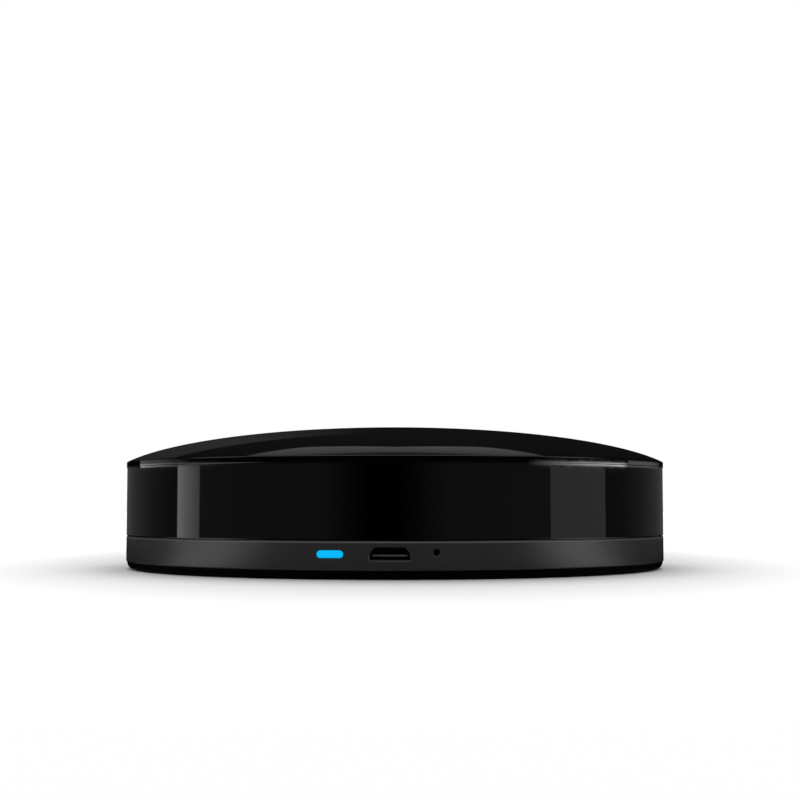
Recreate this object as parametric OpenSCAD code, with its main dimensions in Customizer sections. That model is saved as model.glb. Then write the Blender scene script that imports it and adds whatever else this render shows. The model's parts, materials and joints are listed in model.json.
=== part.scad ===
// Infrared blaster: a round puck with a domed cover, an infrared window band and a shallow base.
// Millimetres, +Z up. The origin is the centre of the circle that it rests on, and the front faces -Y.

/* [Housing] */
// Diameter over the lip of the cover
body_d = 110; // [106:1:122]
// Height from the resting face to the top of the dome
body_h = 28.6; // [27.6:0.1:32]
// Rise of the dome above the lip
dome_h = 7.2; // [6:0.1:8]
// Share of the half ellipse that the dome's profile takes up
dome_share = 0.94; // [0.8:0.01:0.96]
// Height of the lip of the cover
lip_h = 1.2; // [0.9:0.1:1.6]
// How far the lip stands out past the band
lip_proud = 0.1; // [0.05:0.05:0.3]
// Height of the side wall of the base
base_h = 5.1; // [4.9:0.1:6]
// Thickness of the walls of cover, band and base
wall_t = 2; // [1.8:0.1:2.3]
// Thickness of the floor of the base
floor_t = 1.5; // [1.3:0.1:1.6]
// Height of the dark seam between base and band
seam_gap = 0.22; // [0.15:0.01:0.35]

/* [Foot] */
// Height of the rubber foot ring under the base
foot_h = 1.6; // [1.4:0.1:2.2]
// Width of the rubber foot ring
foot_w = 14.7; // [12:0.1:16]
// Radius of the rounded outer edge of the foot ring
foot_edge_r = 1.5; // [1:0.1:1.9]

/* [Front openings] */
// Place of the status light across the front
light_x = -11.1; // [-13:0.1:-10]
// Width of the status light
light_w = 4.7; // [3:0.1:4.8]
// Height of the status light
light_h = 1.3; // [1:0.1:1.6]
// Place of the power socket across the front
usb_x = -0.7; // [-1.5:0.1:0.5]
// Width of the opening for the power plug
usb_open_w = 7; // [6.9:0.1:7.2]
// Height of the opening for the power plug
usb_open_h = 2.2; // [2:0.1:2.3]
// Place of the reset pinhole across the front
pin_x = 7.3; // [7:0.1:9]
// Diameter of the reset pinhole
pin_d = 1.2; // [1:0.1:1.5]

/* [Board] */
// Thickness of the main board
board_t = 1.2; // [1:0.1:1.6]
// Gap between the board's edge and the wall of the base
board_gap = 0.6; // [0.4:0.1:1]
// Height of the board above the floor of the base
board_lift = 2.6; // [2.6:0.05:2.8]

/* [Infrared emitters] */
// Diameter of an emitter's lens
emitter_d = 5; // [4:0.1:5]
// Length of an emitter from its flange to its tip
emitter_l = 8.6; // [7:0.1:9]
// Gap between an emitter's tip and the band
emitter_gap = 2; // [1.2:0.1:3]

/* [Reset switch] */
// Travel of the plunger
reset_travel = 0.25; // [0.15:0.01:0.27]
// How far the plunger stands out of its switch
plunger_out = 0.8; // [0.5:0.05:1]
// Gap between the wall of the base and the plunger's tip
plunger_gap = 0.7; // [0.5:0.05:1]

/* [Screws] */
// Diameter of the case screws' shanks
case_screw_d = 2.3; // [2:0.1:2.5]
// Length of the case screws under the head
case_screw_l = 9; // [7:0.5:11]
// Diameter of the board screws' shanks
board_screw_d = 1.7; // [1.5:0.1:1.8]
// Length of the board screws under the head
board_screw_l = 4; // [3:0.1:4.1]

/* [Hidden] */
$fn = 96;
overrun = 1;
touch_gap = 0.05;
fit_gap = 0.1;
emitter_count = 8;
dome_steps = 30;

// Radii of the housing and heights of its stack, from the resting face up
lip_r = body_d / 2;
band_r = lip_r - lip_proud;
inner_r = band_r - wall_t;
floor_z = foot_h + floor_t;
board_z = floor_z + board_lift;
board_top = board_z + board_t;
board_r = inner_r - board_gap;
seam_z = foot_h + base_h;
lip_z = body_h - dome_h - lip_h;
lip_top = lip_z + lip_h;

// Small edges, the seam's depth and the corner between floor and wall
edge_r = 0.2;
seam_d = 0.45;
corner_r = 0.8;

// Tongue of the base, which stands up inside the band
tongue_t = 1;
tongue_h = 1.2;
tongue_r = inner_r + tongue_t;

// Dome, an ellipse cut off at the lip, and the same one inside the wall
dome_a = lip_r / dome_share;
dome_b = dome_h / (1 - sqrt(1 - dome_share * dome_share));

// Skirt of the cover, which locates inside the band
skirt_t = 1.2;
skirt_h = 2;
skirt_out = inner_r - fit_gap;
skirt_in = skirt_out - skirt_t;

// Foot ring and its key in the base
foot_inset = 0.2;
foot_out = band_r - foot_inset;
foot_in = foot_out - foot_w;
foot_lead = 0.4;
key_h = 0.4;
key_inset = 1.3;

// Case screws, their recesses in the base and their bosses in base and cover
screw_turns = [45, 135, 225, 315];
case_head_d = 4.8;
case_head_h = 1.7;
cross_w = 0.6;
cross_l = 2.6;
cross_h = 0.9;
head_edge = 0.4;
thread_gap = 0.05;
recess_gap = 0.3;
recess_sink = 0.5;
recess_wall = 1.1;
seat_t = 1.4;
recess_d = case_head_d + 2 * recess_gap;
recess_h = case_head_h + recess_sink;
base_boss_d = recess_d + 2 * recess_wall;
boss_z = foot_h + recess_h + seat_t;
boss_inset = 2;
boss_r = foot_in - boss_inset - base_boss_d / 2;
cover_boss_d = 6;
cover_boss_gap = 0.5;
pilot_spare = 1.5;

// Ribs under the dome
rib_t = 1.2;
rib_drop = 1;
hub_r = 15;
hub_h = 3;

// Stands, screws and rests that carry the board
stand_d = 5;
stand_side_r = 22;
stand_side_turn = 30;
stand_gap = 1;
stand_floor = 0.5;
board_head_d = 3.6;
board_head_h = 1.3;
board_hole_gap = 0.2;
small_cross_l = 2;
small_cross_h = 0.7;
rest_turns = [0, 45, 90, 135, 180, 225, 315];
rest_t = 1.2;
rest_reach = 3;

// Power socket, hung under the board with its narrow side up
usb_w = 7.5;
usb_h = 2.45;
usb_l = 5.3;
usb_t = 0.25;
usb_corner_w = 0.88;
usb_corner_h = 1.15;
usb_skin = 0.9;
usb_room = 0.15;
usb_z = board_z - usb_h / 2;
usb_mouth = band_r - usb_skin - fit_gap;
usb_back = usb_mouth - usb_l;
usb_core_l = 1.2;
usb_leg_w = 1.4;
usb_leg_back = 1;
usb_leg_y = usb_back + usb_leg_back + usb_leg_w / 2;
usb_leg_out = 0.3;
usb_leg_lap = 1.5;
tab_w = 6;
tab_h = 0.4;
tab_l = 3.6;
tab_drop = 0.3;
contact_count = 5;
contact_pitch = 0.65;
contact_w = 0.3;
contact_t = 0.12;
contact_foot = 0.7;
contact_inset = 0.4;

// Status light: a light pipe in the wall and a side-looking diode under the board
light_drop = 1.3;
light_z = board_z - light_drop;
light_rim = 0.5;
light_rim_t = 0.8;
light_stem_l = 1.6;
light_back_l = 1;
light_back_w = 3.4;
diode_w = 3;
diode_d = 1.4;
diode_h = 1.1;
diode_face_w = 2.2;
diode_face_h = 0.7;
diode_face_d = 0.2;

// Reset switch, hung under the board behind the pinhole
switch_w = 4.7;
switch_l = 3.4;
switch_h = 1.9;
plate_t = 0.15;
plate_leg_l = 1.2;
switch_front_t = 0.6;
switch_roof_t = 0.4;
cavity_w = 3;
slide_gap = 0.08;
plunger_w = 1.4;
plunger_h = 1;
plunger_drop = 1;
plunger_head_w = 2.6;
plunger_head_l = 0.7;
snap_w = 2.3;
snap_h = 1;
snap_t = 0.08;
snap_rise = 0.45;
snap_gap = 0.03;
pin_z = board_z - plunger_drop;
wall_at_pin = sqrt(inner_r * inner_r - pin_x * pin_x);
plunger_tip = wall_at_pin - plunger_gap;
switch_face = plunger_tip - plunger_out;
head_face = switch_face - switch_front_t - snap_gap;
snap_face = head_face - plunger_head_l - reset_travel - snap_gap;
cavity_back = snap_face - snap_rise - snap_gap;

// Infrared emitters
flange_over = 0.45;
flange_t = 1;
flange_r = emitter_d / 2 + flange_over;
emitter_tip = inner_r - emitter_gap;
emitter_back = emitter_tip - emitter_l;
emitter_z = board_top + flange_r + touch_gap;
lead_t = 0.5;
lead_pitch = 2.54;
lead_back = 1.6;
lead_out = 1;
lead_hole = 0.2;

// Infrared receiver
receiver_w = 6;
receiver_d = 3.2;
receiver_h = 6.8;
receiver_lift = 0.6;
receiver_lens_r = 2.3;
receiver_lens_out = 1.4;
receiver_inset = 7.5;
receiver_y = inner_r - receiver_inset;

// Wireless module and its shield can
module_w = 18;
module_l = 25.5;
module_t = 0.8;
module_edge = 1.2;
module_end = sqrt(board_r * board_r - module_w * module_w / 4) - module_edge;
stand_back_r = module_end - module_l - stand_gap - board_head_d / 2;
castle_count = 14;
castle_pitch = 1.27;
castle_d = 0.8;
can_w = 15.8;
can_l = 17.6;
can_h = 2.3;
can_t = 0.2;
can_corner = 1;
can_inset = 1;

// Controller chip
chip_x = -13;
chip_y = -4;
chip_w = 7;
chip_t = 1.4;
chip_lift = 0.1;
chip_pins = 8;
chip_pitch = 0.8;
chip_pin_w = 0.35;
chip_pin_t = 0.15;
chip_pin_reach = 1;
chip_pin_foot = 0.5;

// Rings of small parts inside the emitters
resistor_gap = 4.7;
resistor_r = emitter_back - lead_back - resistor_gap;
transistor_gap = 6;
transistor_r = resistor_r - transistor_gap;

// Voltage regulator
regulator_x = 6;
regulator_gap = 5;
regulator_y = regulator_gap - resistor_r;
regulator_w = 6.5;
regulator_l = 3.5;
regulator_h = 1.6;
regulator_tab_w = 3;
regulator_pin_w = 0.7;
regulator_pin_l = 1.7;
regulator_pin_t = 0.25;
regulator_pitch = 2.3;

// Reservoir capacitor
capacitor_x = -9;
capacitor_gap = 10;
capacitor_y = capacitor_gap - resistor_r;
capacitor_d = 6.3;
capacitor_h = 5.8;
capacitor_base_w = 6.6;
capacitor_base_h = 0.8;
capacitor_neck = 0.2;
capacitor_neck_h = 0.5;
capacitor_neck_z = 1.2;

// Crystal
crystal_x = -15;
crystal_y = 8;
crystal_w = 10.8;
crystal_d = 4.5;
crystal_h = 3.4;
crystal_rim = 0.3;
crystal_rim_h = 0.4;

// Small parts on the board
transistor_turns = [-8, 8, 172, 188];
transistor_w = 2.9;
transistor_d = 1.3;
transistor_h = 1;
transistor_pin_w = 0.4;
transistor_pin_l = 0.55;
transistor_pin_t = 0.15;
transistor_pitch = 1.9;
resistor_w = 2;
resistor_d = 1.25;
resistor_h = 0.5;
bypass_x = -5;
bypass_y = -8;
bypass_w = 1.6;
bypass_d = 0.8;
bypass_h = 0.8;
bypass_rows = 4;
bypass_columns = 3;
bypass_pitch_x = 3;
bypass_pitch_y = 2.4;

// Points from the axis out to a radius along an ellipse's top half, evenly spread in angle
function arch(r, a, b, apex) = [
    for (i = [0:dome_steps])
        let (t = asin(r / a) * i / dome_steps)
            [a * sin(t), apex - b * (1 - cos(t))]
];

function reversed(points) = [for (i = [len(points) - 1:-1:0]) points[i]];

// Turn of one emitter, with the first just right of the front
function emitter_turn(i) = 360 * (i - 0.5) / emitter_count - 90;

// Outline across the power socket, with the narrow side up
module usb_outline(w, h, corner_w, corner_h) {
    polygon([
        [-w / 2, -h / 2],
        [w / 2, -h / 2],
        [w / 2, h / 2 - corner_h],
        [w / 2 - corner_w, h / 2],
        [-w / 2 + corner_w, h / 2],
        [-w / 2, h / 2 - corner_h]
    ]);
}

// Outline with half-round ends
module pill(w, h) {
    square([w - h, h], center = true);
    for (side = [-1, 1])
        translate([side * (w - h) / 2, 0]) circle(d = h);
}

// Extrudes an outline towards the front, from one distance behind the front to another
module to_front(from, to) {
    translate([0, -from, 0]) rotate([90, 0, 0]) linear_extrude(to - from) children();
}

// Extrudes a side view, drawn with +X to the back and +Y up, to a width about the middle
module side_view(w) {
    translate([-w / 2, 0, 0]) rotate([90, 0, 90]) linear_extrude(w) children();
}

// A box centred across and along, standing on its place
module block(w, d, h) {
    translate([-w / 2, -d / 2, 0]) cube([w, d, h]);
}

// Turns a piece that is built at the front, so that its middle comes to this place across the front
module at_rim(x) {
    rotate([0, 0, asin(x / band_r)]) children();
}

// At each of the board's stands: one in front of the wireless module and one to each side
module at_stands() {
    translate([0, stand_back_r, 0]) rotate([0, 0, 90]) children();
    for (turn = [180 + stand_side_turn, -stand_side_turn])
        rotate([0, 0, turn]) translate([stand_side_r, 0, 0]) children();
}

// Everything inside a surface halfway through the cover's wall, down to the board
module cover_core() {
    half = wall_t / 2;
    rotate_extrude() polygon(concat(
        [[0, foot_h]],
        arch(skirt_in + skirt_t / 2, dome_a - half, dome_b - half, body_h - half),
        [[skirt_in + skirt_t / 2, foot_h]]
    ));
}

// Domed cover with its lip, locating skirt, screw bosses and ribs
module top_cover() {
    rib_z = lip_z - rib_drop;
    color([0.02, 0.02, 0.022]) difference() {
        union() {
            rotate_extrude() polygon(concat(
                arch(lip_r - edge_r, dome_a, dome_b, body_h),
                [
                    [lip_r, lip_top - edge_r],
                    [lip_r, lip_z + edge_r],
                    [lip_r - edge_r, lip_z],
                    [skirt_out, lip_z],
                    [skirt_out, lip_z - skirt_h + edge_r],
                    [skirt_out - edge_r, lip_z - skirt_h],
                    [skirt_in, lip_z - skirt_h]
                ],
                reversed(arch(skirt_in, dome_a - wall_t, dome_b - wall_t, body_h - wall_t))
            ));
            intersection() {
                cover_core();
                union() {
                    for (turn = screw_turns) rotate([0, 0, turn]) {
                        translate([boss_r, 0, boss_z]) cylinder(d = cover_boss_d, h = body_h);
                        translate([boss_r, -rib_t / 2, rib_z]) cube([lip_r, rib_t, body_h]);
                    }
                    for (turn = screw_turns) rotate([0, 0, turn])
                        translate([hub_r - rib_t / 2, -rib_t / 2, body_h - wall_t - hub_h])
                            cube([boss_r - hub_r, rib_t, body_h]);
                    translate([0, 0, body_h - wall_t - hub_h]) difference() {
                        cylinder(r = hub_r, h = body_h);
                        translate([0, 0, -overrun]) cylinder(r = hub_r - rib_t, h = body_h + 2 * overrun);
                    }
                }
            }
        }
        for (turn = screw_turns) rotate([0, 0, turn])
            translate([boss_r, 0, boss_z - overrun])
                cylinder(
                    d = case_screw_d + 2 * thread_gap,
                    h = case_screw_l - seat_t + pilot_spare + overrun
                );
    }
}

// Infrared window band, clamped between the cover's lip and the base's shoulder
module ir_window_ring() {
    rebate_r = tongue_r + fit_gap;
    rebate_z = seam_z + tongue_h + fit_gap;
    color([0.03, 0.025, 0.03]) rotate_extrude() polygon([
        [rebate_r, seam_z],
        [band_r - edge_r, seam_z],
        [band_r, seam_z + edge_r],
        [band_r, lip_z - edge_r / 2],
        [band_r - edge_r / 2, lip_z],
        [inner_r, lip_z],
        [inner_r, rebate_z],
        [rebate_r, rebate_z]
    ]);
}

// Half section of the base without its cut-outs
module base_profile() {
    rim_z = seam_z - seam_gap;
    polygon([
        [0, foot_h],
        [band_r - edge_r, foot_h],
        [band_r, foot_h + edge_r],
        [band_r, rim_z - edge_r],
        [band_r - edge_r, rim_z],
        [band_r - seam_d, rim_z],
        [band_r - seam_d, seam_z],
        [tongue_r, seam_z],
        [tongue_r, seam_z + tongue_h - edge_r],
        [tongue_r - edge_r, seam_z + tongue_h],
        [inner_r, seam_z + tongue_h],
        [inner_r, floor_z + corner_r],
        [inner_r - corner_r, floor_z],
        [0, floor_z]
    ]);
}

// Shallow base with its floor, screw bosses, board stands, rests and front cut-outs
module base_shell() {
    color([0.14, 0.14, 0.145]) difference() {
        union() {
            rotate_extrude() base_profile();
            for (turn = screw_turns) rotate([0, 0, turn])
                translate([boss_r, 0, foot_h]) cylinder(d = base_boss_d, h = boss_z - foot_h);
            at_stands() translate([0, 0, foot_h]) cylinder(d = stand_d, h = board_z - foot_h);
            for (turn = rest_turns) rotate([0, 0, turn])
                translate([board_r - rest_reach, -rest_t / 2, foot_h + floor_t / 2])
                    cube([rest_reach + board_gap + wall_t / 2, rest_t, board_z - foot_h - floor_t / 2]);
        }
        base_screw_holes();
        foot_groove();
        front_cuts();
    }
}

module base_screw_holes() {
    for (turn = screw_turns) rotate([0, 0, turn]) translate([boss_r, 0, foot_h]) {
        translate([0, 0, -overrun]) cylinder(d = recess_d, h = recess_h + overrun);
        cylinder(d = case_screw_d + 2 * recess_gap, h = boss_z - foot_h + overrun);
    }
    at_stands() translate([0, 0, foot_h + stand_floor])
        cylinder(d = board_screw_d + 2 * thread_gap, h = board_z);
}

// Shallow groove that the foot ring's key sits in
module foot_groove() {
    translate([0, 0, foot_h - overrun]) difference() {
        cylinder(r = foot_out - key_inset + touch_gap, h = key_h + touch_gap + overrun);
        translate([0, 0, -overrun])
            cylinder(r = foot_in + key_inset - touch_gap, h = key_h + 3 * overrun);
    }
}

// Openings for the light, the plug and the pin, and the pocket for the power socket
module front_cuts() {
    at_rim(light_x) translate([0, 0, light_z])
        to_front(inner_r - overrun, lip_r + overrun) pill(light_w, light_h);
    light_rim_seat();
    translate([usb_x, 0, usb_z]) to_front(inner_r - overrun, lip_r + overrun)
        usb_outline(usb_open_w, usb_open_h, usb_corner_w, usb_corner_h);
    translate([usb_x - usb_w / 2 - usb_room, -usb_mouth - fit_gap, floor_z])
        cube([usb_w + 2 * usb_room, usb_l, board_z + usb_room - floor_z]);
    translate([pin_x, 0, pin_z]) to_front(wall_at_pin - overrun, lip_r + overrun) circle(d = pin_d);
}

// Relief in the corner between floor and wall for the rim of the light pipe
module light_rim_seat() {
    intersection() {
        at_rim(light_x) translate([0, 0, light_z]) to_front(inner_r - light_rim_t - overrun, lip_r)
            pill(light_w + 2 * light_rim + fit_gap, light_h + 2 * light_rim + fit_gap);
        cylinder(r = inner_r, h = body_h);
    }
}

// Anti-slip ring that the whole object rests on
module foot_ring() {
    color([0.05, 0.05, 0.05]) rotate_extrude() union() {
        difference() {
            union() {
                translate([foot_in, 0]) square([foot_w - foot_edge_r, foot_h]);
                translate([foot_out - foot_edge_r, foot_edge_r])
                    square([foot_edge_r, foot_h - foot_edge_r]);
                intersection() {
                    translate([foot_out - foot_edge_r, foot_edge_r]) circle(r = foot_edge_r);
                    translate([foot_out - foot_edge_r, 0]) square(foot_edge_r);
                }
            }
            polygon([
                [foot_in - overrun, -overrun],
                [foot_in + foot_lead + overrun, -overrun],
                [foot_in - overrun, foot_lead + overrun]
            ]);
        }
        translate([foot_in + key_inset, foot_h - key_h])
            square([foot_w - 2 * key_inset, 2 * key_h]);
    }
}

// Round main board with its screw, boss and lead holes
module main_board() {
    color([0.05, 0.2, 0.1]) difference() {
        translate([0, 0, board_z]) cylinder(r = board_r, h = board_t);
        translate([0, 0, board_z - overrun]) {
            for (turn = screw_turns) rotate([0, 0, turn])
                translate([boss_r, 0, 0])
                    cylinder(d = cover_boss_d + 2 * cover_boss_gap, h = board_t + 2 * overrun);
            at_stands() cylinder(d = board_screw_d + 2 * board_hole_gap, h = board_t + 2 * overrun);
            for (i = [1:emitter_count], side = [-1, 1]) rotate([0, 0, emitter_turn(i)])
                translate([emitter_back - lead_back, side * lead_pitch / 2, 0])
                    cylinder(r = lead_t / 2 + lead_hole, h = board_t + 2 * overrun);
            for (k = [-1:1])
                translate([k * lead_pitch, -receiver_y, 0])
                    cylinder(r = lead_t / 2 + lead_hole, h = board_t + 2 * overrun);
            for (side = [-1, 1])
                translate([usb_x + side * (usb_w - usb_t) / 2, -usb_leg_y, 0])
                    block(usb_t + 2 * lead_hole, usb_leg_w + 2 * lead_hole, board_t + 2 * overrun);
        }
    }
}

// One infrared diode that lies on the board and looks outwards, with its two bent leads
module ir_emitter(i) {
    round_r = emitter_d / 2;
    color([0.35, 0.4, 0.55]) rotate([0, 0, emitter_turn(i)]) translate([0, 0, emitter_z]) {
        translate([emitter_back, 0, 0]) rotate([0, 90, 0]) union() {
            cylinder(d = emitter_d, h = emitter_l - round_r);
            cylinder(r = flange_r, h = flange_t);
            translate([0, 0, emitter_l - round_r]) sphere(r = round_r);
        }
        for (side = [-1, 1]) translate([0, side * lead_pitch / 2 + lead_t / 2, 0])
            rotate([90, 0, 0]) linear_extrude(lead_t) emitter_lead();
    }
}

// Side view of a lead: back out of the diode, then down through the board
module emitter_lead() {
    low = board_z - lead_out - emitter_z;
    back = emitter_back - lead_back;
    polygon([
        [emitter_back + flange_t / 2, lead_t / 2],
        [back - lead_t / 2, lead_t / 2],
        [back - lead_t / 2, low],
        [back + lead_t / 2, low],
        [back + lead_t / 2, -lead_t / 2],
        [emitter_back + flange_t / 2, -lead_t / 2]
    ]);
}

// Infrared receiver that stands on its three leads and faces the front
module ir_receiver() {
    color([0.06, 0.05, 0.07]) translate([0, -receiver_y, board_top]) union() {
        translate([0, 0, receiver_lift]) block(receiver_w, receiver_d, receiver_h);
        translate([0, -receiver_d / 2 + receiver_lens_r - receiver_lens_out, receiver_lift + receiver_h / 2])
            sphere(r = receiver_lens_r);
        for (k = [-1:1]) translate([k * lead_pitch, 0, -board_t - lead_out])
            block(lead_t, lead_t, board_t + lead_out + 2 * receiver_lift);
    }
}

// Wireless module: a small board with half-round contacts along both sides
module wifi_module_board() {
    color([0.03, 0.03, 0.035]) translate([0, module_end - module_l / 2, board_top]) difference() {
        block(module_w, module_l, module_t);
        for (side = [-1, 1], k = [1:castle_count])
            translate([side * module_w / 2, -module_l / 2 + k * castle_pitch, -overrun])
                cylinder(d = castle_d, h = module_t + 2 * overrun);
    }
}

// Outline of the shield can with rounded corners
module can_outline(inset) {
    w = can_w - 2 * inset;
    l = can_l - 2 * inset;
    r = can_corner - inset;
    square([w - 2 * r, l], center = true);
    square([w, l - 2 * r], center = true);
    for (sx = [-1, 1], sy = [-1, 1])
        translate([sx * (w / 2 - r), sy * (l / 2 - r)]) circle(r = r);
}

module wifi_shield_can() {
    color([0.75, 0.75, 0.76])
        translate([0, module_end - module_l + can_inset + can_l / 2, board_top + module_t]) difference() {
            linear_extrude(can_h) can_outline(0);
            translate([0, 0, -overrun]) linear_extrude(can_h - can_t + overrun) can_outline(can_t);
        }
}

// Side view of a bent pin that comes out of a body at the origin and steps down to the board
module gull_pin(rise, reach, foot, t) {
    polygon([
        [-t, rise],
        [-t, rise + t],
        [reach - foot + t, rise + t],
        [reach - foot + t, t],
        [reach, t],
        [reach, 0],
        [reach - foot, 0],
        [reach - foot, rise]
    ]);
}

// Controller chip with pins on four sides
module controller_chip() {
    rise = chip_lift + chip_t / 2;
    row = (chip_pins - 1) * chip_pitch;
    color([0.09, 0.09, 0.09]) translate([chip_x, chip_y, board_top]) union() {
        translate([0, 0, chip_lift]) block(chip_w, chip_w, chip_t);
        for (turn = [0, 90, 180, 270], k = [0:chip_pins - 1]) rotate([0, 0, turn])
            translate([k * chip_pitch - row / 2, chip_w / 2, 0])
                side_view(chip_pin_w) gull_pin(rise, chip_pin_reach, chip_pin_foot, chip_pin_t);
    }
}

// Voltage regulator with three pins at the front and a wide tab at the back
module voltage_regulator() {
    color([0.08, 0.08, 0.08]) translate([regulator_x, regulator_y, board_top]) union() {
        block(regulator_w, regulator_l, regulator_h);
        for (k = [-1:1]) translate([k * regulator_pitch, -(regulator_l + regulator_pin_l) / 2, 0])
            block(regulator_pin_w, regulator_pin_l + overrun, regulator_pin_t);
        translate([0, (regulator_l + regulator_pin_l) / 2, 0])
            block(regulator_tab_w, regulator_pin_l + overrun, regulator_pin_t);
    }
}

// Reservoir capacitor: a necked aluminium can on a square foot
module bulk_capacitor() {
    r = capacitor_d / 2;
    color([0.7, 0.7, 0.72]) translate([capacitor_x, capacitor_y, board_top]) union() {
        block(capacitor_base_w, capacitor_base_w, capacitor_base_h);
        rotate_extrude() polygon([
            [0, 0],
            [r, 0],
            [r, capacitor_neck_z],
            [r - capacitor_neck, capacitor_neck_z + capacitor_neck_h / 2],
            [r, capacitor_neck_z + capacitor_neck_h],
            [r, capacitor_h - capacitor_neck],
            [r - capacitor_neck, capacitor_h],
            [0, capacitor_h]
        ]);
    }
}

// Crystal: a low metal can with round ends on a rim
module crystal() {
    color([0.72, 0.72, 0.7]) translate([crystal_x, crystal_y, board_top]) union() {
        linear_extrude(crystal_h) pill(crystal_w, crystal_d);
        linear_extrude(crystal_rim_h) pill(crystal_w + 2 * crystal_rim, crystal_d + 2 * crystal_rim);
    }
}

// Transistors that switch the emitters
module driver_transistors() {
    color([0.1, 0.1, 0.1]) for (turn = transistor_turns) rotate([0, 0, turn])
        translate([transistor_r, 0, board_top]) union() {
            block(transistor_d, transistor_w, transistor_h);
            for (k = [-1, 1]) translate([transistor_d / 2, k * transistor_pitch / 2, 0])
                block(2 * transistor_pin_l, transistor_pin_w, transistor_pin_t);
            translate([-transistor_d / 2, 0, 0])
                block(2 * transistor_pin_l, transistor_pin_w, transistor_pin_t);
        }
}

// One resistor behind each emitter
module led_resistors() {
    color([0.12, 0.12, 0.13]) for (i = [1:emitter_count]) rotate([0, 0, emitter_turn(i)])
        translate([resistor_r, 0, board_top]) block(resistor_d, resistor_w, resistor_h);
}

// Small capacitors beside the controller
module bypass_capacitors() {
    color([0.6, 0.5, 0.38]) for (i = [0:bypass_columns - 1], j = [0:bypass_rows - 1])
        translate([bypass_x + i * bypass_pitch_x, bypass_y + j * bypass_pitch_y, board_top])
            block(bypass_w, bypass_d, bypass_h);
}

// Sheet-metal shell of the power socket with its two soldering legs
module usb_socket_shell() {
    color([0.7, 0.7, 0.7]) translate([usb_x, 0, usb_z]) union() {
        difference() {
            to_front(usb_back, usb_mouth) usb_outline(usb_w, usb_h, usb_corner_w, usb_corner_h);
            to_front(usb_back - overrun, usb_mouth + overrun)
                usb_outline(usb_w - 2 * usb_t, usb_h - 2 * usb_t, usb_corner_w, usb_corner_h);
        }
        for (side = [-1, 1])
            translate([side * (usb_w - usb_t) / 2, -usb_leg_y, usb_h / 2 - usb_leg_lap])
                block(usb_t, usb_leg_w, usb_leg_lap + board_t + usb_leg_out);
    }
}

// Slots for the contacts through the core of the socket
module contact_places() {
    for (k = [0:contact_count - 1])
        translate([(k - (contact_count - 1) / 2) * contact_pitch, 0, 0]) children();
}

// Plastic core of the power socket with the tongue that carries the contacts
module usb_socket_tongue() {
    core_w = usb_w - 2 * usb_t - 2 * touch_gap;
    core_h = usb_h - 2 * usb_t - 2 * touch_gap;
    tab_z = -tab_drop - tab_h / 2;
    color([0.1, 0.1, 0.1]) translate([usb_x, 0, usb_z]) difference() {
        union() {
            to_front(usb_back, usb_back + usb_core_l)
                usb_outline(core_w, core_h, usb_corner_w, usb_corner_h);
            translate([-tab_w / 2, -usb_back - usb_core_l - tab_l, tab_z])
                cube([tab_w, tab_l + overrun, tab_h]);
        }
        contact_places()
            translate([-contact_w / 2 - touch_gap, -usb_back - usb_core_l - touch_gap, tab_z + tab_h])
                cube([contact_w + 2 * touch_gap, usb_core_l + 2 * touch_gap, contact_t + touch_gap]);
    }
}

// Five contacts that lie on the tongue, pass through the core and turn up to the board
module usb_contacts() {
    low = tab_h / 2 - tab_drop;
    high = usb_h / 2;
    tip = -usb_back - usb_core_l - tab_l + contact_inset;
    back = -usb_back + touch_gap;
    color([0.8, 0.65, 0.3]) translate([usb_x, 0, usb_z]) contact_places() side_view(contact_w) polygon([
        [tip, low],
        [back + contact_t, low],
        [back + contact_t, high - contact_t],
        [back + contact_foot, high - contact_t],
        [back + contact_foot, high],
        [back, high],
        [back, low + contact_t],
        [tip, low + contact_t]
    ]);
}

// Light pipe: a pill through the wall, a rim behind it and a stem back to its diode
module light_pipe() {
    stem = inner_r - light_rim_t - light_stem_l;
    color([0.0, 0.72, 1.0]) at_rim(light_x) translate([0, 0, light_z]) union() {
        intersection() {
            to_front(stem, lip_r) pill(light_w - 2 * touch_gap, light_h - 2 * touch_gap);
            translate([0, 0, -body_h]) cylinder(r = band_r, h = 2 * body_h);
        }
        intersection() {
            to_front(inner_r - light_rim_t - overrun, lip_r)
                pill(light_w + 2 * light_rim, light_h + 2 * light_rim);
            translate([0, 0, -body_h]) difference() {
                cylinder(r = inner_r - touch_gap, h = 2 * body_h);
                translate([0, 0, -overrun])
                    cylinder(r = inner_r - light_rim_t, h = 2 * body_h + 2 * overrun);
            }
        }
        translate([0, -stem, -light_h / 2 + touch_gap])
            block(light_back_w, light_back_l, light_drop + light_h / 2 - 2 * touch_gap);
    }
}

// Side-looking status diode under the board
module status_led() {
    back = inner_r - light_rim_t - light_stem_l - light_back_l / 2 - fit_gap;
    color([0.9, 0.9, 0.88]) at_rim(light_x) translate([0, -back + diode_d / 2, board_z - diode_h])
        difference() {
            block(diode_w, diode_d, diode_h);
            translate([-diode_face_w / 2, -diode_d / 2 - overrun, (diode_h - diode_face_h) / 2])
                cube([diode_face_w, diode_face_d + overrun, diode_face_h]);
        }
}

// Moulded body of the reset switch, open to the front and below
module reset_switch_body() {
    color([0.85, 0.82, 0.75]) translate([pin_x, -switch_face, board_z]) difference() {
        translate([-switch_w / 2, 0, plate_t - switch_h]) cube([switch_w, switch_l, switch_h - plate_t]);
        translate([-cavity_w / 2, switch_front_t, -switch_h])
            cube([cavity_w, switch_face - switch_front_t - cavity_back, switch_h - switch_roof_t]);
        translate([-plunger_w / 2 - slide_gap, -overrun, -switch_h])
            cube([
                plunger_w + 2 * slide_gap,
                switch_front_t + 2 * overrun,
                switch_h - plunger_drop + plunger_h / 2 + slide_gap
            ]);
    }
}

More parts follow.
